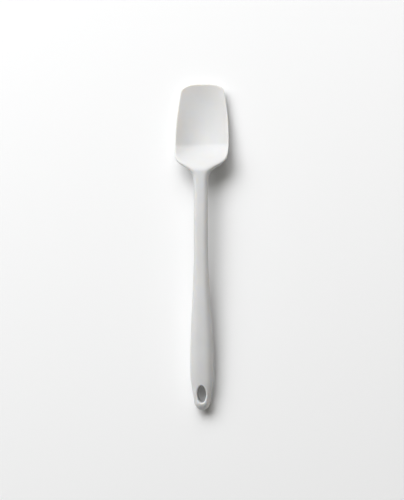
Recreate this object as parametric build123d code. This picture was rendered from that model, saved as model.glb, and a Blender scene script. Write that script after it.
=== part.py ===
from build123d import *
from math import cos, pi, sin, sqrt, tan, tanh
import os

# Small spoon spatula: one seamless silicone skin moulded over a stiff core.
# Y runs along the tool, with the tip towards +Y, and Z = 0 is the table that it lies on, bowl up.
# Every place along the tool is a distance back from the tip.

# Whole tool
overall_length = 210.0
neck_start = 58.0

# Widths from side to side
tip_width = 26.4
head_width = 34.7
neck_width = 9.0
grip_width = 15.2
tail_width = 10.2

# Thicknesses: of the rim all round the bowl, then in the middle of the section
lip_thickness = 1.3
bowl_thickness = 3.6
neck_thickness = 7.2
grip_thickness = 12.6
tail_thickness = 10.8

# Plan of the head: the sides swell to the widest place, then the shoulders fall to the neck
widest_place = 38.0
shoulder_place = 54.4
shoulder_reach = 4.1

# Plan of the handle: it widens from the neck to the grip, then narrows to the tail
widening_place = 106.0
grip_place = 181.0
narrowing_place = 188.0
narrowed_place = 208.0

# Side view: the belly and the grip touch the table, and the neck arches over it
belly_place = 30.0
belly_radius = 120.0
back_wall_place = 39.0
neck_lift = 10.5
crest_place = 84.0
grip_rest_place = 204.0
thickening_place = 90.0

# Trough of the bowl, from its floor up to its rims: it is open at the tip, so it starts beyond it
bowl_depth = 7.2
trough_start_place = -16.0
trough_place = 42.0
trough_end_place = 56.0

# Rounding of the two ends, in plan and in thickness
tip_corner_depth = 6.0
tip_nose_depth = 1.5
tail_round_depth = 5.6
tail_nose_depth = 5.0
end_flat = 0.04

# Hanging hole, an oval through the tail
hole_width = 5.7
hole_length = 10.9
hole_from_end = 10.2
hole_rim_radius = 1.0
tail_seam_to_end = 2.6

# Core, and the silicone over and under it
core_start = 26.0
core_to_hole = 4.5
core_corner_radius = 1.6
paddle_width = 12.4
bowl_wall = 0.8
neck_wall = 1.7
grip_wall = 2.4
cut_overrun = 5.0

# Holes in the core that the silicone flows through
keyhole_diameter = 3.4
paddle_keyhole_place = 36.0
paddle_keyhole_spacing = 6.6
bar_keyhole_start = 88.0
bar_keyhole_spacing = 30.0
bar_keyhole_count = 3

# How finely the sections follow the form
flat_points = 4
rim_bands = 6
band_points = 4
end_stations = 7
station_spacing = 2.6
handle_station_spacing = 8.0
core_point_spacing = 8.0

# Rims: the share of a quarter turn that the round of the rim covers, and how full it is
rim_turn_share = 0.6
rim_fullness = 1.4

# Roundness of the section and of the ends in plan: a higher power fills a corner out more
neck_power = 3.0
grip_power = 2.5
spread_power = 1.9
tip_power = 3
tail_power = 2


def ease(place, start, end):
    """Share that climbs smoothly from 0 at the start to 1 at the end."""
    share = min(max((place - start) / (end - start), 0), 1)
    return share ** 2 * (3 - 2 * share)


def between(first, second, share):
    """Value that lies the share of the way from the first to the second."""
    return first + (second - first) * share


def rounded_end(distance, depth, power):
    """Share of the full size at a distance inside a rounded end of that depth."""
    if distance >= depth:
        return 1
    return sqrt(1 - (1 - (distance + end_flat) / (depth + end_flat)) ** power)


def grip_share(place):
    """How far the handle has swelled from the neck to the grip."""
    return ease(place, widening_place, grip_place)


def stem_share(place):
    """How far the bowl has turned into the neck."""
    return ease(place, back_wall_place, neck_start)


def full_half_width(place):
    """Half the width, before the ends are rounded."""
    spread = max(1 - place / widest_place, 0) ** spread_power
    head = between(head_width, tip_width, spread) / 2
    grip = between(neck_width, grip_width, grip_share(place)) / 2
    handle = between(grip, tail_width / 2, ease(place, narrowing_place, narrowed_place))
    shoulder_share = (1 + tanh((place - shoulder_place) / shoulder_reach)) / 2
    return between(head, handle, shoulder_share)


def full_thickness(place):
    """Thickness in the middle, before the ends are rounded."""
    head = between(lip_thickness, bowl_thickness, sin(pi / 2 * min(place / shoulder_place, 1)))
    neck = between(head, neck_thickness, stem_share(place))
    grip = between(neck, grip_thickness, ease(place, thickening_place, grip_place))
    return between(grip, tail_thickness, ease(place, grip_place, overall_length))


def underside(place):
    """Height of the underside in the middle, before the ends are rounded."""
    belly = (place - belly_place) ** 2 / (2 * belly_radius)
    neck = between(belly, neck_lift, stem_share(place))
    return between(neck, 0, ease(place, crest_place, grip_rest_place))


def rim_rise(place):
    """How far the rims stand above the middle of the bowl."""
    rising = ease(place, trough_start_place, trough_place)
    return bowl_depth * rising * (1 - ease(place, trough_place, trough_end_place))


def along_y(place):
    """Y coordinate of a place along the tool."""
    return overall_length / 2 - place


class HalfSection:
    """Right half of the outline across the tool: an oval that thins towards its lifted rims."""

    def __init__(self, place):
        from_end = overall_length - place
        plan = rounded_end(place, tip_corner_depth, tip_power)
        plan *= rounded_end(from_end, tail_round_depth, tail_power)
        nose = rounded_end(place, tip_nose_depth, tip_power)
        nose *= rounded_end(from_end, tail_nose_depth, tail_power)
        thickness = full_thickness(place)
        self.y = along_y(place)
        self.middle = underside(place) + thickness / 2
        self.half_width = full_half_width(place) * plan
        self.half_thickness = thickness / 2 * nose
        self.rim = between(lip_thickness, thickness, stem_share(place)) / 2 * nose
        self.rise = rim_rise(place) * plan ** 2
        flatness = max(self.half_width / self.rim - 1, 0)
        self.power = between(neck_power, grip_power, grip_share(place)) + rim_fullness * flatness

    def at_share(self, share, side):
        """Point on the top or the underside, and how it moves with the share of the half width."""
        swell = sqrt(1 - share ** self.power)
        swell_change = -self.power * share ** (self.power - 1) / (2 * swell)
        thick = between(self.half_thickness, self.rim, share ** 2)
        thick_change = 2 * share * (self.rim - self.half_thickness)
        height = self.middle + self.rise * share ** 2 + side * thick * swell
        climb = 2 * self.rise * share + side * (thick_change * swell + thick * swell_change)
        return (self.half_width * share, self.y, height), (self.half_width, 0, climb)

    def at_angle(self, angle):
        """Point on the round of the rim, and how it moves as the angle falls from top to underside."""
        share = cos(angle) ** (2 / self.power)
        change = 2 / self.power * share * tan(angle)
        thick = between(self.half_thickness, self.rim, share ** 2)
        thick_change = 2 * share * change * (self.rim - self.half_thickness)
        height = self.middle + self.rise * share ** 2 + thick * sin(angle)
        climb = 2 * self.rise * share * change + thick_change * sin(angle) - thick * cos(angle)
        return (self.half_width * share, self.y, height), (self.half_width * change, 0, climb)

    def edges(self):
        """Top, bands of the round rim and underside, as edges that meet smoothly."""
        turn = pi / 2 * rim_turn_share
        last_share = cos(turn) ** (2 / self.power)
        shares = [last_share * index / flat_points for index in range(flat_points + 1)]
        top = smooth_edge([self.at_share(share, 1) for share in shares], last_share)
        underside_edge = smooth_edge([self.at_share(share, -1) for share in shares], last_share)
        band_turn = 2 * turn / rim_bands
        bands = []
        for band in range(rim_bands):
            first = turn - band * band_turn
            angles = [first - band_turn * index / band_points for index in range(band_points + 1)]
            bands.append(smooth_edge([self.at_angle(angle) for angle in angles], band_turn))
        return [top] + bands + [underside_edge]


def smooth_edge(points_and_changes, span):
    """Curve through the points that leaves the first and reaches the last with the given changes."""
    count = len(points_and_changes)
    parameters = [index / (count - 1) for index in range(count)]
    points = [point for point, change in points_and_changes]
    ends = [points_and_changes[0][1], points_and_changes[-1][1]]
    tangents = [tuple(part * span for part in change) for change in ends]
    return Edge.make_spline(points, tangents=tangents, parameters=parameters, scale=False)


def end_places(depth):
    """Distances inside a rounded end, closer together towards the end."""
    return [depth * (index / end_stations) ** 2 for index in range(end_stations)]


def stations():
    """Places of the sections from the tip to the tail."""
    head_steps = round((neck_start - tip_corner_depth) / station_spacing)
    handle_end = overall_length - tail_round_depth
    handle_steps = round((handle_end - neck_start) / handle_station_spacing)
    places = end_places(tip_corner_depth)
    places += [between(tip_corner_depth, neck_start, index / head_steps) for index in range(head_steps)]
    places += [between(neck_start, handle_end, index / handle_steps) for index in range(handle_steps)]
    places += [handle_end]
    places += [overall_length - distance for distance in reversed(end_places(tail_round_depth))]
    return places


def seamed(faces, place):
    """The faces with a seam across them at a place."""
    plane = Plane(origin=(0, along_y(place), 0), z_dir=(0, 1, 0))
    return [part for face in faces for part in face.split(plane, keep=Keep.ALL).faces()]


def form_through(half_sections):
    """Solid through the half sections and their mirror images, closed by a small flat at each end."""
    right = Shell.make_loft([Wire(half) for half in half_sections])
    edges = right.edges().sort_by(Axis.Y)
    count = len(half_sections[0])
    ends = [list(edges[:count]), list(edges[-count:])]
    flats = [Face(Wire(end + [edge.mirror(Plane.YZ) for edge in end])) for end in ends]
    right_faces = right.faces()
    for place in (tip_corner_depth, narrowing_place, overall_length - tail_seam_to_end):
        right_faces = seamed(right_faces, place)
    left_faces = [face.mirror(Plane.YZ) for face in right_faces]
    right_faces = [face.mirror(Plane.YZ) for face in left_faces]
    return Solid(Shell(right_faces + left_faces + flats))


def through_cut(x, place, outline):
    """Upright bar of that outline, from under the tool to above it."""
    height = neck_lift + neck_thickness + grip_thickness
    return extrude(Pos(x, along_y(place), -cut_overrun) * outline, height + 2 * cut_overrun)


def core_half_width(place):
    """Half the width of the core."""
    handle = between(neck_width / 2 - neck_wall, grip_width / 2 - grip_wall, grip_share(place))
    return between(paddle_width / 2, handle, stem_share(place))


def core_heights(place):
    """Heights of the underside and the top of the core: in the bowl it rides up with the curved floor."""
    wall = between(between(bowl_wall, neck_wall, stem_share(place)), grip_wall, grip_share(place))
    ride = rim_rise(place) * (core_half_width(place) / full_half_width(place)) ** 2
    bottom = underside(place) + wall + ride
    return bottom, underside(place) + full_thickness(place) - wall


def closed_strip(first_points, last_points):
    """Face between two rows of points."""
    rows = [Edge.make_spline(points) for points in (first_points, last_points)]
    closers = [Edge.make_line(first_points[end], last_points[end]) for end in (0, -1)]
    return Face(Wire(rows + closers))


def make_core():
    """Stiff core: a thin paddle in the bowl, a bar in the neck and a thicker bar in the grip."""
    end = overall_length - hole_from_end - hole_length / 2 - core_to_hole
    corners = [core_start, trough_place, neck_start, widening_place, end]
    right = [(core_half_width(place), along_y(place), 0) for place in corners]
    left = [(-x, y, z) for x, y, z in reversed(right)]
    plan = Face(Wire.make_polygon(right + left))
    plan = plan.fillet_2d(core_corner_radius, plan.vertices())
    steps = round((end - core_start) / core_point_spacing)
    places = [between(core_start, end, index / steps) for index in range(steps + 1)]
    rows = [[(-head_width, along_y(place), core_heights(place)[row]) for place in places] for row in (0, 1)]
    height = neck_lift + neck_thickness + grip_thickness
    core = extrude(closed_strip(*rows), 2 * head_width, dir=(1, 0, 0)) & extrude(plan, height, dir=(0, 0, 1))
    keyhole = Circle(keyhole_diameter / 2)
    bar_rows = [bar_keyhole_start + row * bar_keyhole_spacing for row in range(bar_keyhole_count)]
    sides = [side * paddle_keyhole_spacing / 2 for side in (-1, 1)]
    cuts = [through_cut(x, paddle_keyhole_place, keyhole) for x in sides]
    cuts += [through_cut(0, place, keyhole) for place in bar_rows]
    return core - cuts


def make_body():
    """Outer form of the silicone, with the hanging hole and its rounded rims."""
    body = form_through([HalfSection(place).edges() for place in stations()])
    hole_place = overall_length - hole_from_end
    body -= through_cut(0, hole_place, Ellipse(hole_width / 2, hole_length / 2))
    low_y = along_y(hole_place + hole_length / 2)
    high_y = along_y(hole_place - hole_length / 2)
    rims = body.edges().filter_by_position(Axis.Y, low_y, high_y).filter_by(GeomType.BSPLINE)
    return body.fillet(hole_rim_radius, rims)


core = make_core()
skin = make_body() - core
resting = Pos(0, 0, -skin.bounding_box().min.Z)

os.makedirs("parts", exist_ok=True)
export_step(resting * skin, "parts/silicone_skin.step")
export_step(resting * core, "parts/stiffening_core.step")
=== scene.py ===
"""Looks of a small silicone spoon spatula, lying on a pale table in soft light.

The moulding is one seamless skin of silicone. Its form follows a rule along the tool, which a Geometry
Nodes tree works out, with the hanging hole and its rounded rims. The stiff core stays hidden inside.
Lengths are in metres, apart from the moulding's sizes, which are in millimetres as in the CAD.
A place along the tool is a distance back from its tip, which is towards +Y.
"""

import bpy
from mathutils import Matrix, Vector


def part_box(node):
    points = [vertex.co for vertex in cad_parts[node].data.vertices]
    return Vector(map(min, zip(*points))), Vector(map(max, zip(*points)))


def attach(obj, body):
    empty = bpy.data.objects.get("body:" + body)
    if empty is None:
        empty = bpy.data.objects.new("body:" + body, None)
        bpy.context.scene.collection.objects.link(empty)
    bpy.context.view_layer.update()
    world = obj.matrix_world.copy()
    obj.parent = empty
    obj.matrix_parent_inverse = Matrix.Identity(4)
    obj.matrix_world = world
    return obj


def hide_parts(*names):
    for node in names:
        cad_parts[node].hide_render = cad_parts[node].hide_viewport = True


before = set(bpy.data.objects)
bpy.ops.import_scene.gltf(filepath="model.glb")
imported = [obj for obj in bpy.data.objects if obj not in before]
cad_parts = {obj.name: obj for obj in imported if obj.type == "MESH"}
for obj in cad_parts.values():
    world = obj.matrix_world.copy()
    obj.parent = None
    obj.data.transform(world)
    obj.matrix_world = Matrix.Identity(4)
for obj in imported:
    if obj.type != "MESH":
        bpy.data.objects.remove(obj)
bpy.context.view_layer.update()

import logging
import math
from dataclasses import dataclass, fields
from enum import Enum
from typing import Union

import bmesh
import bpy
from mathutils import Matrix, Vector

log = logging.getLogger("spatula")

MILLIMETRE = 0.001
MERGE_DISTANCE = 1e-7
WHITE = (1.0, 1.0, 1.0, 1.0)

# Floors that keep a division from meeting 0
LEAST_REACH = 1e-6
LEAST_RIM = 1e-3

# Where the tree tells rings, grid halves, sides and open edges apart
RING_TOLERANCE = 1e-4
GRID_CENTRE = 0.5
BETWEEN_SIDES = 0.0
BETWEEN_ONE_AND_TWO = 1.5

# Attributes that the tree stores on its points, which the finished mesh doesn't keep
STORED = (
    "column",
    "row",
    "side",
    "place",
    "share",
    "ring_x",
    "near_hole",
    "ring",
    "edge_distance",
    "foot",
)


class Node(Enum):
    """CAD nodes of the spatula."""

    SKIN = "silicone_skin"
    CORE = "stiffening_core"


class Slot(Enum):
    """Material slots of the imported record."""

    SILICONE = "silicone"
    NYLON = "core_nylon"


@dataclass(frozen=True)
class MouldingSizes:
    """Sizes of the moulding, in millimetres. The field's name is the name of the tree's input."""

    length: float
    neck_start: float = 58.0
    tip_width: float = 26.4
    head_width: float = 34.7
    neck_width: float = 9.0
    grip_width: float = 15.2
    tail_width: float = 10.2
    lip_thickness: float = 1.3
    bowl_thickness: float = 3.6
    neck_thickness: float = 7.2
    grip_thickness: float = 12.6
    tail_thickness: float = 10.8
    widest_place: float = 38.0
    shoulder_place: float = 54.4
    shoulder_reach: float = 4.1
    widening_place: float = 106.0
    grip_place: float = 181.0
    narrowing_place: float = 188.0
    narrowed_place: float = 208.0
    belly_place: float = 30.0
    belly_radius: float = 120.0
    back_wall_place: float = 39.0
    neck_lift: float = 10.5
    crest_place: float = 84.0
    grip_rest_place: float = 204.0
    thickening_place: float = 90.0
    bowl_depth: float = 7.2
    trough_start_place: float = -16.0
    trough_place: float = 42.0
    trough_end_place: float = 56.0
    tip_corner_depth: float = 6.0
    tip_nose_depth: float = 1.5
    tail_round_depth: float = 5.6
    tail_nose_depth: float = 5.0
    hole_width: float = 5.7
    hole_length: float = 10.9
    hole_from_end: float = 10.2
    hole_rim_radius: float = 1.0
    hole_blend_reach: float = 2.2
    rim_fullness: float = 1.4
    neck_power: float = 3.0
    grip_power: float = 2.5
    spread_power: float = 1.9
    tip_power: float = 3.0
    tail_power: float = 2.0


@dataclass(frozen=True)
class MeshCounts:
    """How many rows and columns of faces the moulding has, and how they crowd and turn into rings."""

    half_columns: int = 40
    tip_rows: int = 26
    main_rows: int = 360
    tail_rows: int = 28
    hole_half_columns: int = 7
    hole_half_rows: int = 9
    hole_reach: float = 2.2
    ring_spread: float = 1.4
    ring_settling: tuple[float, float] = (0.6, 1.0)
    rim_crowding: float = 2.5

    @property
    def rows(self) -> int:
        """Rows from the tip to the tail."""
        return self.tip_rows + self.main_rows + self.tail_rows


Number = Union["Field", float]


class Field:
    """A number in a node tree, which adds and multiplies as a plain number does."""

    def __init__(self, tree: bpy.types.NodeTree, socket: bpy.types.NodeSocket) -> None:
        """Keeps the socket that gives the number.

        Args:
            tree: Node tree that the number belongs to.
            socket: Output socket that gives it.
        """
        self.tree = tree
        self.socket = socket

    def feed(self, value: Number, target: bpy.types.NodeSocket) -> None:
        """Puts a number into an input socket.

        Args:
            value: Field or plain number.
            target: Input socket that takes it.
        """
        if isinstance(value, Field):
            self.tree.links.new(value.socket, target)
        else:
            target.default_value = value

    def maths(self, operation: str, *others: Number) -> "Field":
        """Adds a Math node that takes this number first.

        Args:
            operation: Name of the node's operation.
            others: What else goes into it, in order.

        Returns:
            The node's result.
        """
        node = self.tree.nodes.new("ShaderNodeMath")
        node.operation = operation
        for value, target in zip((self, *others), node.inputs):
            self.feed(value, target)
        return Field(self.tree, node.outputs[0])

    def __add__(self, other: Number) -> "Field":
        """Sum."""
        return self.maths("ADD", other)

    def __sub__(self, other: Number) -> "Field":
        """Difference."""
        return self.maths("SUBTRACT", other)

    def __rsub__(self, other: Number) -> "Field":
        """Difference with the number first."""
        return self.maths("MULTIPLY", -1.0) + other

    def __mul__(self, other: Number) -> "Field":
        """Product."""
        return self.maths("MULTIPLY", other)

    def __truediv__(self, other: Number) -> "Field":
        """Quotient."""
        return self.maths("DIVIDE", other)

    def __pow__(self, other: Number) -> "Field":
        """Power."""
        return self.maths("POWER", other)

    __radd__ = __add__
    __rmul__ = __mul__

    def root(self) -> "Field":
        """Square root."""
        return self.maths("SQRT")

    def size(self) -> "Field":
        """Value without its sign."""
        return self.maths("ABSOLUTE")

    def at_least(self, other: Number) -> "Field":
        """The larger of the two."""
        return self.maths("MAXIMUM", other)

    def at_most(self, other: Number) -> "Field":
        """The smaller of the two."""
        return self.maths("MINIMUM", other)

    def above(self, other: Number) -> "Field":
        """1 where this is above the other, and 0 elsewhere."""
        return self.maths("GREATER_THAN", other)

    def ease(self, start: Number, end: Number) -> "Field":
        """Climbs smoothly from 0 at the start to 1 at the end.

        Args:
            start: Value at which it leaves 0.
            end: Value at which it reaches 1.

        Returns:
            The share.
        """
        node = self.tree.nodes.new("ShaderNodeMapRange")
        node.interpolation_type = "SMOOTHSTEP"
        for value, name in ((self, "Value"), (start, "From Min"), (end, "From Max")):
            self.feed(value, node.inputs[name])
        return Field(self.tree, node.outputs["Result"])


def between(first: Number, second: Number, share: Number) -> Number:
    """Value that lies the share of the way from the first to the second."""
    return first + (second - first) * share


class MouldingRule:
    """Rule of the moulding's form, in fields: widths, thicknesses and heights at a place along it."""

    def __init__(self, sizes: dict[str, Field]) -> None:
        """Keeps the tree's named inputs.

        Args:
            sizes: Field of each size, by its name.
        """
        self.sizes = sizes

    def __getattr__(self, name: str) -> Field:
        """Size of that name."""
        return self.sizes[name]

    def rounded_end(self, distance: Field, depth: Field, power: Field) -> Field:
        """Share of the full size at a distance inside a rounded end.

        Args:
            distance: How far inside the end the place is.
            depth: How deep the rounding goes.
            power: How far its corners are filled out.

        Returns:
            The share, 1 past the rounding.
        """
        left = 1 - (distance / depth).at_least(0).at_most(1)
        return (1 - left**power).at_least(0).root()

    def half_width(self, place: Field) -> Field:
        """Half the width at a place, its rounded ends included.

        Args:
            place: Place along the tool.

        Returns:
            Half the width there.
        """
        spread = (1 - place / self.widest_place).at_least(0) ** self.spread_power
        head = between(self.head_width, self.tip_width, spread) / 2
        widening = place.ease(self.widening_place, self.grip_place)
        grip = between(self.neck_width, self.grip_width, widening) / 2
        narrowing = place.ease(self.narrowing_place, self.narrowed_place)
        handle = between(grip, self.tail_width / 2, narrowing)
        reach = (place - self.shoulder_place) / self.shoulder_reach
        shoulder = (reach.maths("TANH") + 1) / 2
        return between(head, handle, shoulder) * self.width_share(place)

    def width_share(self, place: Field) -> Field:
        """Share of the full width that the rounded ends leave."""
        tip = self.rounded_end(place, self.tip_corner_depth, self.tip_power)
        return tip * self.rounded_end(self.length - place, self.tail_round_depth, self.tail_power)

    def full_thickness(self, place: Field) -> Field:
        """Thickness in the middle, before the ends are rounded.

        Args:
            place: Place along the tool.

        Returns:
            The thickness there.
        """
        share = (place / self.shoulder_place).at_most(1) * (math.pi / 2)
        head = between(self.lip_thickness, self.bowl_thickness, share.maths("SINE"))
        neck = between(head, self.neck_thickness, place.ease(self.back_wall_place, self.neck_start))
        grip = between(neck, self.grip_thickness, place.ease(self.thickening_place, self.grip_place))
        return between(grip, self.tail_thickness, place.ease(self.grip_place, self.length))

    def nose_share(self, place: Field) -> Field:
        """Share of the full thickness that the rounded ends leave."""
        tip = self.rounded_end(place, self.tip_nose_depth, self.tip_power)
        return tip * self.rounded_end(self.length - place, self.tail_nose_depth, self.tail_power)

    def underside(self, place: Field) -> Field:
        """Height of the underside in the middle, before the ends are rounded.

        Args:
            place: Place along the tool.

        Returns:
            Its height above the table.
        """
        belly = (place - self.belly_place) ** 2.0 / (2 * self.belly_radius)
        neck = between(belly, self.neck_lift, place.ease(self.back_wall_place, self.neck_start))
        return between(neck, 0.0, place.ease(self.crest_place, self.grip_rest_place))

    def rim_rise(self, place: Field) -> Field:
        """How far the rims stand above the middle of the bowl.

        Args:
            place: Place along the tool.

        Returns:
            The rise there, 0 past the bowl.
        """
        rising = place.ease(self.trough_start_place, self.trough_place)
        falling = 1 - place.ease(self.trough_place, self.trough_end_place)
        return self.bowl_depth * rising * falling * self.width_share(place) ** 2.0


class MouldingTree:
    """Geometry Nodes tree that makes the moulding."""

    def __init__(self, sizes: MouldingSizes, counts: MeshCounts, material: bpy.types.Material) -> None:
        """Starts the tree, with a named input for every size.

        Args:
            sizes: Sizes of the moulding.
            counts: Rows and columns of its mesh.
            material: Material of the moulding.
        """
        self.counts = counts
        self.material = material
        self.tree = bpy.data.node_groups.new("moulding", "GeometryNodeTree")
        self.inputs: dict[str, str] = {}
        self.tree.interface.new_socket(name="Geometry", in_out="OUTPUT", socket_type="NodeSocketGeometry")
        for size in fields(sizes):
            socket = self.tree.interface.new_socket(
                name=size.name, in_out="INPUT", socket_type="NodeSocketFloat"
            )
            self.inputs[size.name] = socket.identifier
        group = self.tree.nodes.new("NodeGroupInput")
        named = {size.name: Field(self.tree, group.outputs[size.name]) for size in fields(sizes)}
        self.rule = MouldingRule(named)

    def node(self, kind: str, **links: object) -> bpy.types.Node:
        """Adds a node and feeds its inputs.

        Args:
            kind: Type name of the node.
            links: What each input takes, by the input's name with _ for a space.

        Returns:
            The node.
        """
        made = self.tree.nodes.new(kind)
        for name, value in links.items():
            target = made.inputs[name.replace("_", " ")]
            if isinstance(value, Field):
                self.tree.links.new(value.socket, target)
            elif isinstance(value, bpy.types.NodeSocket):
                self.tree.links.new(value, target)
            else:
                target.default_value = value
        return made

    def parts_of(self, vector: bpy.types.NodeSocket) -> tuple[Field, Field, Field]:
        """Splits a vector.

        Args:
            vector: Socket that gives it.

        Returns:
            Its X, Y and Z.
        """
        split = self.node("ShaderNodeSeparateXYZ", Vector=vector)
        x, y, z = (Field(self.tree, output) for output in split.outputs)
        return x, y, z

    def remember(self, mesh: bpy.types.NodeSocket, name: str, value: Number) -> bpy.types.NodeSocket:
        """Stores a number on every point.

        Args:
            mesh: Mesh that gets it.
            name: Name of the attribute.
            value: What is stored.

        Returns:
            The mesh with the attribute.
        """
        store = self.tree.nodes.new("GeometryNodeStoreNamedAttribute")
        store.data_type = "FLOAT"
        store.domain = "POINT"
        self.tree.links.new(mesh, store.inputs["Geometry"])
        store.inputs["Name"].default_value = name
        if isinstance(value, Field):
            self.tree.links.new(value.socket, store.inputs["Value"])
        else:
            store.inputs["Value"].default_value = value
        return store.outputs["Geometry"]

    def recall(self, name: str) -> Field:
        """Reads a number that was stored on the points.

        Args:
            name: Name that it was stored under.

        Returns:
            The number.
        """
        read = self.tree.nodes.new("GeometryNodeInputNamedAttribute")
        read.data_type = "FLOAT"
        read.inputs["Name"].default_value = name
        return Field(self.tree, read.outputs["Attribute"])

    def sheets(self) -> bpy.types.NodeSocket:
        """Flat grids for the upper and the lower side, with their row and column on every point.

        Returns:
            Both grids as one mesh.
        """
        columns, rows = 2 * self.counts.half_columns, self.counts.rows
        grid = self.node("GeometryNodeMeshGrid")
        for name, value in (("Size", 1.0), ("Vertices", columns + 1)):
            grid.inputs[f"{name} X"].default_value = value
        for name, value in (("Size", 1.0), ("Vertices", rows + 1)):
            grid.inputs[f"{name} Y"].default_value = value
        across, along, _ = self.parts_of(self.node("GeometryNodeInputPosition").outputs[0])
        mesh = self.remember(grid.outputs["Mesh"], "column", across * float(columns))
        mesh = self.remember(mesh, "row", (GRID_CENTRE - along) * float(rows))
        upper = self.remember(mesh, "side", 1.0)
        flipped = self.node("GeometryNodeFlipFaces", Mesh=mesh).outputs["Mesh"]
        lower = self.remember(flipped, "side", -1.0)
        join = self.node("GeometryNodeJoinGeometry")
        self.tree.links.new(lower, join.inputs["Geometry"])
        self.tree.links.new(upper, join.inputs["Geometry"])
        return join.outputs["Geometry"]

    def place_of_row(self, row: Field) -> Field:
        """Place along the tool of a row: rows come closer together towards both ends.

        Args:
            row: Row, counted from the tip.

        Returns:
            Its place along the tool.
        """
        counts, rule = self.counts, self.rule
        tip = (row / float(counts.tip_rows)).at_most(1)
        main = ((row - float(counts.tip_rows)) / float(counts.main_rows)).at_least(0).at_most(1)
        tail = ((counts.rows - row) / float(counts.tail_rows)).at_most(1)
        main_length = rule.length - rule.tip_corner_depth - rule.tail_round_depth
        ends = rule.tip_corner_depth * tip**2.0 + rule.tail_round_depth * (1 - tail**2.0)
        return ends + main_length * main

    def share_of_column(self, column: Field) -> Field:
        """Share of the half width of a column: columns come closer together towards the rims.

        Args:
            column: Column, counted from the middle to either side.

        Returns:
            Its share, from -1 at the left rim to 1 at the right one.
        """
        side = column.maths("SIGN")
        left = 1 - (column.size() / float(self.counts.half_columns)).at_most(1)
        return side * (1 - left**self.counts.rim_crowding)

    def open_hole(self, place: Field, share: Field) -> tuple[Field, Field, Field, Field]:
        """Draws the rows and columns round the hanging hole into rings.

        Args:
            place: Place along the tool of a point.
            share: Its share of the half width.

        Returns:
            Its new place and X, its ring from 1 at the hole's edge, and its distance from that edge.
        """
        counts, rule = self.counts, self.rule
        hole_place = rule.length - rule.hole_from_end
        tail_start = rule.length - rule.tail_round_depth
        row_length = (tail_start - rule.tip_corner_depth) / float(counts.main_rows)
        hole_row = (hole_place - rule.tip_corner_depth) / row_length + float(counts.tip_rows)
        along = (self.recall("row") - hole_row.maths("ROUND")) / float(counts.hole_half_rows)
        across = self.recall("column") / float(counts.hole_half_columns)
        ring = along.size().at_least(across.size())
        reach = (along * along + across * across).root().at_least(LEAST_REACH)
        turn_x, turn_y = across / reach, along / reach
        half_width, half_length = rule.hole_width / 2, rule.hole_length / 2
        out_x, out_y = turn_x / half_width, turn_y / half_length
        out = (out_x * out_x + out_y * out_y).root().at_least(LEAST_REACH)
        step = ((ring - 1) / (counts.hole_reach - 1)).at_least(0)
        distance = rule.hole_blend_reach * step**counts.ring_spread
        ring_x = turn_x * half_width + out_x / out * distance
        ring_place = hole_place + turn_y * half_length + out_y / out * distance
        plain_x = rule.half_width(place) * share
        settled = step.ease(*counts.ring_settling)
        return (
            between(ring_place, place, settled),
            between(ring_x, plain_x, settled),
            ring,
            distance,
        )

    def heights(self, place: Field, share: Field) -> tuple[Field, Field]:
        """Height of the middle of the section at a point, and how far the surface is above and below it.

        Args:
            place: The point's place along the tool.
            share: Its share of the half width.

        Returns:
            The height of the middle above the table, and half the thickness there.
        """
        rule = self.rule
        thickness = rule.full_thickness(place)
        middle = rule.underside(place) + thickness / 2
        nose = rule.nose_share(place)
        stem = place.ease(rule.back_wall_place, rule.neck_start)
        rim = between(rule.lip_thickness, thickness, stem) / 2 * nose
        flatness = (rule.half_width(place) / rim.at_least(LEAST_RIM) - 1).at_least(0)
        widening = place.ease(rule.widening_place, rule.grip_place)
        plain_power = between(rule.neck_power, rule.grip_power, widening)
        power = rule.rim_fullness * flatness + plain_power
        round_rim = (1 - share.size() ** power).at_least(0).root()
        half_thickness = between(thickness / 2 * nose, rim, share * share) * round_rim
        return middle + rule.rim_rise(place) * share * share, half_thickness

    def build(self) -> bpy.types.NodeTree:
        """Links the whole tree.

        Returns:
            The finished tree.
        """
        counts, rule = self.counts, self.rule
        mesh = self.sheets()
        plain_place = self.place_of_row(self.recall("row"))
        plain_share = self.share_of_column(self.recall("column"))
        place, x, ring, distance = self.open_hole(plain_place, plain_share)
        near_hole = 1 - ring.above(counts.hole_reach)
        for name, value in (
            ("place", between(plain_place, place, near_hole)),
            ("share", plain_share),
            ("ring_x", x),
            ("near_hole", near_hole),
            ("ring", ring),
            ("edge_distance", distance),
        ):
            mesh = self.remember(mesh, name, value)
        place, near_hole = self.recall("place"), self.recall("near_hole")
        half_width = rule.half_width(place)
        share = between(self.recall("share"), self.recall("ring_x") / half_width, near_hole)
        inside = rule.hole_rim_radius - self.recall("edge_distance").at_most(rule.hole_rim_radius)
        radius = rule.hole_rim_radius
        drop = (radius - (radius * radius - inside * inside).at_least(0).root()) * near_hole
        middle, half_thickness = self.heights(place, share)
        height = middle + self.recall("side") * (half_thickness - drop)
        mesh = self.remember(mesh, "foot", (middle - half_thickness + drop) * MILLIMETRE)
        y = (rule.length / 2 - place) * MILLIMETRE
        across, up = half_width * share * MILLIMETRE, height * MILLIMETRE
        point = self.node("ShaderNodeCombineXYZ", X=across, Y=y, Z=up)
        mesh = self.node("GeometryNodeSetPosition", Geometry=mesh, Position=point.outputs[0]).outputs[0]
        mesh = self.without_hole(mesh)
        mesh = self.node("GeometryNodeMergeByDistance", Geometry=mesh, Distance=MERGE_DISTANCE).outputs[0]
        mesh = self.hole_wall(mesh)
        mesh = self.node("GeometryNodeMergeByDistance", Geometry=mesh, Distance=MERGE_DISTANCE).outputs[0]
        realised = self.node("GeometryNodeRealizeInstances", Geometry=mesh).outputs[0]
        painted = self.node("GeometryNodeSetMaterial", Geometry=realised)
        painted.inputs["Material"].default_value = self.material
        output = self.tree.nodes.new("NodeGroupOutput")
        self.tree.links.new(painted.outputs[0], output.inputs[0])
        return self.tree

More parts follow.
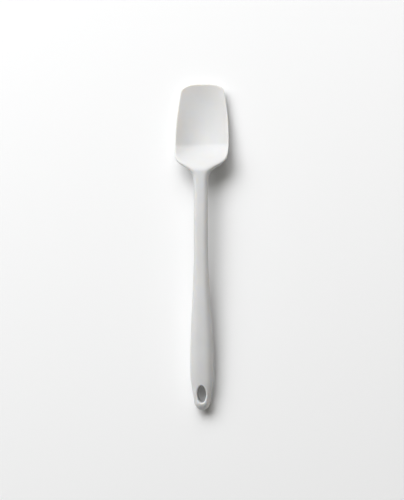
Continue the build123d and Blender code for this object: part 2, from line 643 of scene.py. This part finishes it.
    def without_hole(self, mesh: bpy.types.NodeSocket) -> bpy.types.NodeSocket:
        """Takes away the faces inside the hanging hole.

        Args:
            mesh: Mesh with both sides.

        Returns:
            The mesh with the hole through both.
        """
        delete = self.tree.nodes.new("GeometryNodeDeleteGeometry")
        delete.domain = "FACE"
        self.tree.links.new(mesh, delete.inputs["Geometry"])
        inner = (1 - self.recall("ring")).above(RING_TOLERANCE)
        self.tree.links.new(inner.socket, delete.inputs["Selection"])
        return delete.outputs["Geometry"]

    def hole_wall(self, mesh: bpy.types.NodeSocket) -> bpy.types.NodeSocket:
        """Drops a wall from the upper rim of the hole to the lower one.

        Args:
            mesh: Mesh with the open hole.

        Returns:
            The mesh with the wall.
        """
        neighbours = self.node("GeometryNodeInputMeshEdgeNeighbors")
        count = Field(self.tree, neighbours.outputs[0])
        open_edge = (BETWEEN_ONE_AND_TWO - count).above(0.0) * self.recall("side").above(BETWEEN_SIDES)
        extrude = self.tree.nodes.new("GeometryNodeExtrudeMesh")
        extrude.mode = "EDGES"
        self.tree.links.new(mesh, extrude.inputs["Mesh"])
        self.tree.links.new(open_edge.socket, extrude.inputs["Selection"])
        extrude.inputs["Offset Scale"].default_value = 0.0
        x, y, _ = self.parts_of(self.node("GeometryNodeInputPosition").outputs[0])
        point = self.node("ShaderNodeCombineXYZ", X=x, Y=y, Z=self.recall("foot"))
        return self.node(
            "GeometryNodeSetPosition",
            Geometry=extrude.outputs["Mesh"],
            Selection=extrude.outputs["Top"],
            Position=point.outputs[0],
        ).outputs[0]


@dataclass(frozen=True)
class SiliconeFinish:
    """Satin-matt white silicone: light goes a little way in, and the surface has a fine moulded grain."""

    colour: tuple[float, float, float] = (0.667, 0.667, 0.665)
    dusty_colour: tuple[float, float, float] = (0.652, 0.652, 0.648)
    roughness: float = 0.46
    roughness_spread: float = 0.06
    depth: float = 0.002
    depth_share: float = 0.8
    depth_colour: tuple[float, float, float] = (1.0, 0.82, 0.62)
    gloss: float = 0.4
    refraction: float = 1.41
    grain: float = 2600.0
    grain_detail: float = 4.0
    grain_height: float = 0.000012
    cloud: float = 70.0
    cloud_detail: float = 3.0
    cloud_edges: tuple[float, float] = (0.35, 0.6)

    def material(self) -> bpy.types.Material:
        """Builds the material.

        Returns:
            The material, on Object coordinates.
        """
        made, shader, coordinates = blank_material(Slot.SILICONE.value)
        nodes, links = made.node_tree.nodes, made.node_tree.links
        cloud = noise(nodes, links, coordinates, self.cloud, self.cloud_detail)
        colour = ramp(nodes, links, cloud, (self.dusty_colour, self.colour), self.cloud_edges)
        links.new(colour, shader.inputs["Base Color"])
        rough = nodes.new("ShaderNodeMapRange")
        rough.inputs["To Min"].default_value = self.roughness - self.roughness_spread
        rough.inputs["To Max"].default_value = self.roughness + self.roughness_spread
        links.new(cloud, rough.inputs["Value"])
        links.new(rough.outputs["Result"], shader.inputs["Roughness"])
        grain = nodes.new("ShaderNodeBump")
        grain.inputs["Distance"].default_value = self.grain_height
        bumps = noise(nodes, links, coordinates, self.grain, self.grain_detail)
        links.new(bumps, grain.inputs["Height"])
        links.new(grain.outputs["Normal"], shader.inputs["Normal"])
        shader.inputs["Subsurface Weight"].default_value = self.depth_share
        shader.inputs["Subsurface Radius"].default_value = self.depth_colour
        shader.inputs["Subsurface Scale"].default_value = self.depth
        shader.inputs["Specular IOR Level"].default_value = self.gloss
        shader.inputs["IOR"].default_value = self.refraction
        return made


@dataclass(frozen=True)
class NylonFinish:
    """Glass-filled nylon of the core, matt, with the faint flecks of its fibres."""

    colour: tuple[float, float, float] = (0.66, 0.64, 0.6)
    fleck_colour: tuple[float, float, float] = (0.72, 0.7, 0.66)
    roughness: float = 0.62
    flecks: float = 900.0
    fleck_detail: float = 2.0
    fleck_stretch: tuple[float, float, float] = (1.0, 0.2, 1.0)
    fleck_edges: tuple[float, float] = (0.5, 0.62)

    def material(self) -> bpy.types.Material:
        """Builds the material.

        Returns:
            The material, on Object coordinates.
        """
        made, shader, coordinates = blank_material(Slot.NYLON.value)
        nodes, links = made.node_tree.nodes, made.node_tree.links
        stretch = nodes.new("ShaderNodeMapping")
        stretch.inputs["Scale"].default_value = self.fleck_stretch
        links.new(coordinates, stretch.inputs["Vector"])
        flecks = noise(nodes, links, stretch.outputs["Vector"], self.flecks, self.fleck_detail)
        colour = ramp(nodes, links, flecks, (self.colour, self.fleck_colour), self.fleck_edges)
        links.new(colour, shader.inputs["Base Color"])
        shader.inputs["Roughness"].default_value = self.roughness
        return made


@dataclass(frozen=True)
class TableFinish:
    """Plain pale table."""

    colour: tuple[float, float, float] = (0.92, 0.92, 0.92)
    roughness: float = 0.85
    gloss: float = 0.1

    def material(self) -> bpy.types.Material:
        """Builds the material.

        Returns:
            The material.
        """
        made, shader, _ = blank_material("table")
        shader.inputs["Base Color"].default_value = (*self.colour, 1.0)
        shader.inputs["Roughness"].default_value = self.roughness
        shader.inputs["Specular IOR Level"].default_value = self.gloss
        return made


def blank_material(name: str) -> tuple[bpy.types.Material, bpy.types.Node, bpy.types.NodeSocket]:
    """Makes a material with its shader and Object coordinates.

    Args:
        name: Name of the material.

    Returns:
        The material, its shader and the coordinates' socket.
    """
    made = bpy.data.materials.new(name)
    made.use_nodes = True
    shader = made.node_tree.nodes["Principled BSDF"]
    coordinates = made.node_tree.nodes.new("ShaderNodeTexCoord")
    return made, shader, coordinates.outputs["Object"]


def noise(
    nodes: bpy.types.Nodes,
    links: bpy.types.NodeLinks,
    coordinates: bpy.types.NodeSocket,
    scale: float,
    detail: float,
) -> bpy.types.NodeSocket:
    """Adds a noise pattern.

    Args:
        nodes: Nodes of the material.
        links: Links of the material.
        coordinates: Where the pattern is read.
        scale: How fine it is, in waves a metre.
        detail: How many finer layers it has.

    Returns:
        The pattern's strength.
    """
    pattern = nodes.new("ShaderNodeTexNoise")
    pattern.inputs["Scale"].default_value = scale
    pattern.inputs["Detail"].default_value = detail
    links.new(coordinates, pattern.inputs["Vector"])
    return pattern.outputs["Fac"]


def ramp(
    nodes: bpy.types.Nodes,
    links: bpy.types.NodeLinks,
    share: bpy.types.NodeSocket,
    colours: tuple[tuple[float, float, float], tuple[float, float, float]],
    edges: tuple[float, float],
) -> bpy.types.NodeSocket:
    """Turns a pattern into a blend of two colours.

    Args:
        nodes: Nodes of the material.
        links: Links of the material.
        share: The pattern's strength.
        colours: Colour of its low and of its high places.
        edges: Strengths at which the first colour ends and the second starts.

    Returns:
        The blended colour.
    """
    blend = nodes.new("ShaderNodeValToRGB")
    for element, colour, edge in zip(blend.color_ramp.elements, colours, edges):
        element.color = (*colour, 1.0)
        element.position = edge
    links.new(share, blend.inputs["Fac"])
    return blend.outputs["Color"]


@dataclass
class Moulding:
    """Seamless silicone skin, from the lip of the bowl to the hanging hole."""

    sizes: MouldingSizes
    counts: MeshCounts
    finish: SiliconeFinish

    def build(self) -> bpy.types.Object:
        """Makes the skin as a plain mesh that stands for the CAD node.

        Returns:
            The skin.
        """
        material = self.finish.material()
        skin = bpy.data.objects.new("moulded_skin", bpy.data.meshes.new("moulded_skin"))
        bpy.context.scene.collection.objects.link(skin)
        plan = MouldingTree(self.sizes, self.counts, material)
        modifier = skin.modifiers.new("moulding", "NODES")
        modifier.node_group = plan.build()
        for size in fields(self.sizes):
            modifier[plan.inputs[size.name]] = getattr(self.sizes, size.name)
        evaluated = skin.evaluated_get(bpy.context.evaluated_depsgraph_get())
        mesh = bpy.data.meshes.new_from_object(evaluated)
        skin.modifiers.clear()
        skin.data = mesh
        self.smooth(mesh)
        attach(skin, "root")
        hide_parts(Node.SKIN.value)
        return skin

    def smooth(self, mesh: bpy.types.Mesh) -> None:
        """Turns every face outwards and shades the mesh smoothly.

        Args:
            mesh: Mesh of the skin.
        """
        work = bmesh.new()
        work.from_mesh(mesh)
        bmesh.ops.recalc_face_normals(work, faces=work.faces)
        open_edges = sum(1 for edge in work.edges if not edge.is_manifold)
        log.info("skin has %d faces and %d open edges", len(work.faces), open_edges)
        work.to_mesh(mesh)
        work.free()
        for name in STORED:
            attribute = mesh.attributes.get(name)
            if attribute:
                mesh.attributes.remove(attribute)
        mesh.shade_smooth()


@dataclass
class Core:
    """Stiff core, hidden inside the silicone."""

    finish: NylonFinish

    def dress(self) -> bpy.types.Object:
        """Gives the CAD node its material.

        Returns:
            The core.
        """
        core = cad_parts[Node.CORE.value]
        core.data.materials.clear()
        core.data.materials.append(self.finish.material())
        return core


@dataclass(frozen=True)
class SoftLamp:
    """Round soft lamp, on an arc that runs from beyond the head of the spatula to its left."""

    around: float
    rise: float
    power: float
    size: float = 1.72
    distance: float = 2.4
    colour: tuple[float, float, float] = (0.982, 0.988, 1.0)

    def hang(self, name: str, centre: Vector) -> None:
        """Hangs the lamp, turned towards the centre.

        Args:
            name: Name of the lamp.
            centre: Point that it lights.
        """
        light = bpy.data.lights.new(name, "AREA")
        light.shape = "DISK"
        light.size = self.size
        light.energy = self.power
        light.color = self.colour
        around, rise = math.radians(self.around), math.radians(self.rise)
        level = math.cos(rise)
        direction = Vector((-math.sin(around) * level, math.cos(around) * level, math.sin(rise)))
        lamp = bpy.data.objects.new(name, light)
        lamp.location = centre + direction * self.distance
        lamp.rotation_euler = direction.to_track_quat("Z", "Y").to_euler()
        bpy.context.scene.collection.objects.link(lamp)


@dataclass
class Studio:
    """Pale table, soft light from beyond the head and the left, and the camera above the spatula."""

    table_finish: TableFinish
    table_side: float = 6.0
    picture_centre: tuple[float, float, float] = (0.0, -0.0026, 0.008)
    picture_height: float = 0.3206
    camera_distance: float = 1.0
    camera_to_right: float = 7.2
    camera_to_tail: float = 2.4
    sensor: float = 36.0
    lamps: tuple[SoftLamp, ...] = (
        SoftLamp(around=0.0, rise=45.0, power=24.2),
        SoftLamp(around=30.0, rise=47.0, power=39.6),
        SoftLamp(around=55.0, rise=40.0, power=15.1),
    )
    fill_strength: float = 0.12
    fill_colour: tuple[float, float, float] = (1.0, 0.97, 0.87)

    def build(self) -> None:
        """Builds the whole studio."""
        self.lay_table()
        self.hang_lamps()
        self.fill()
        self.place_camera()

    def lay_table(self) -> None:
        """Lays the table that the spatula lies on."""
        half = self.table_side / 2
        corners = [(-half, -half, 0.0), (half, -half, 0.0), (half, half, 0.0), (-half, half, 0.0)]
        mesh = bpy.data.meshes.new("table")
        mesh.from_pydata(corners, [], [(0, 1, 2, 3)])
        mesh.materials.append(self.table_finish.material())
        table = bpy.data.objects.new("table", mesh)
        bpy.context.scene.collection.objects.link(table)

    def hang_lamps(self) -> None:
        """Hangs the lamps round the middle of the picture."""
        for index, lamp in enumerate(self.lamps):
            lamp.hang(f"lamp_{index}", Vector(self.picture_centre))

    def fill(self) -> None:
        """Fills the shadows from all round, and shows white to the camera and in reflections."""
        world = bpy.data.worlds.new("studio")
        world.use_nodes = True
        nodes, links = world.node_tree.nodes, world.node_tree.links
        background = nodes["Background"]
        background.inputs["Color"].default_value = (*self.fill_colour, 1.0)
        background.inputs["Strength"].default_value = self.fill_strength
        white = nodes.new("ShaderNodeBackground")
        white.inputs["Color"].default_value = WHITE
        path = nodes.new("ShaderNodeLightPath")
        mix = nodes.new("ShaderNodeMixShader")
        seen = path.outputs["Is Camera Ray"]
        for ray in ("Is Glossy Ray", "Is Transmission Ray"):
            either = nodes.new("ShaderNodeMath")
            either.operation = "MAXIMUM"
            links.new(seen, either.inputs[0])
            links.new(path.outputs[ray], either.inputs[1])
            seen = either.outputs["Value"]
        links.new(seen, mix.inputs["Fac"])
        links.new(background.outputs["Background"], mix.inputs[1])
        links.new(white.outputs["Background"], mix.inputs[2])
        links.new(mix.outputs["Shader"], nodes["World Output"].inputs["Surface"])
        bpy.context.scene.world = world

    def place_camera(self) -> None:
        """Puts the camera where the photograph was taken from: nearly overhead, a little to the right."""
        data = bpy.data.cameras.new("camera")
        data.sensor_width = self.sensor
        data.lens = self.sensor * self.camera_distance / self.picture_height
        camera = bpy.data.objects.new("camera", data)
        to_right, to_tail = math.radians(self.camera_to_right), math.radians(self.camera_to_tail)
        back = Vector((math.tan(to_right), -math.tan(to_tail), 1.0)).normalized()
        camera.location = Vector(self.picture_centre) + back * self.camera_distance
        right = Vector((0.0, 1.0, 0.0)).cross(back).normalized()
        turn = Matrix((right, back.cross(right), back)).transposed()
        camera.rotation_euler = turn.to_euler()
        bpy.context.scene.collection.objects.link(camera)
        bpy.context.scene.camera = camera
        bpy.context.scene.view_settings.view_transform = "Standard"


def main() -> None:
    """Builds the spatula and its studio."""
    logging.basicConfig(level=logging.INFO, format="%(message)s")
    low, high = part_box(Node.SKIN.value)
    sizes = MouldingSizes(length=(high.y - low.y) / MILLIMETRE)
    skin = Moulding(sizes, MeshCounts(), SiliconeFinish()).build()
    log.info("built %s", skin.name)
    core = Core(NylonFinish()).dress()
    log.info("dressed %s", core.name)
    Studio(TableFinish()).build()
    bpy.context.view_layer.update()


if __name__ == "__main__":
    main()
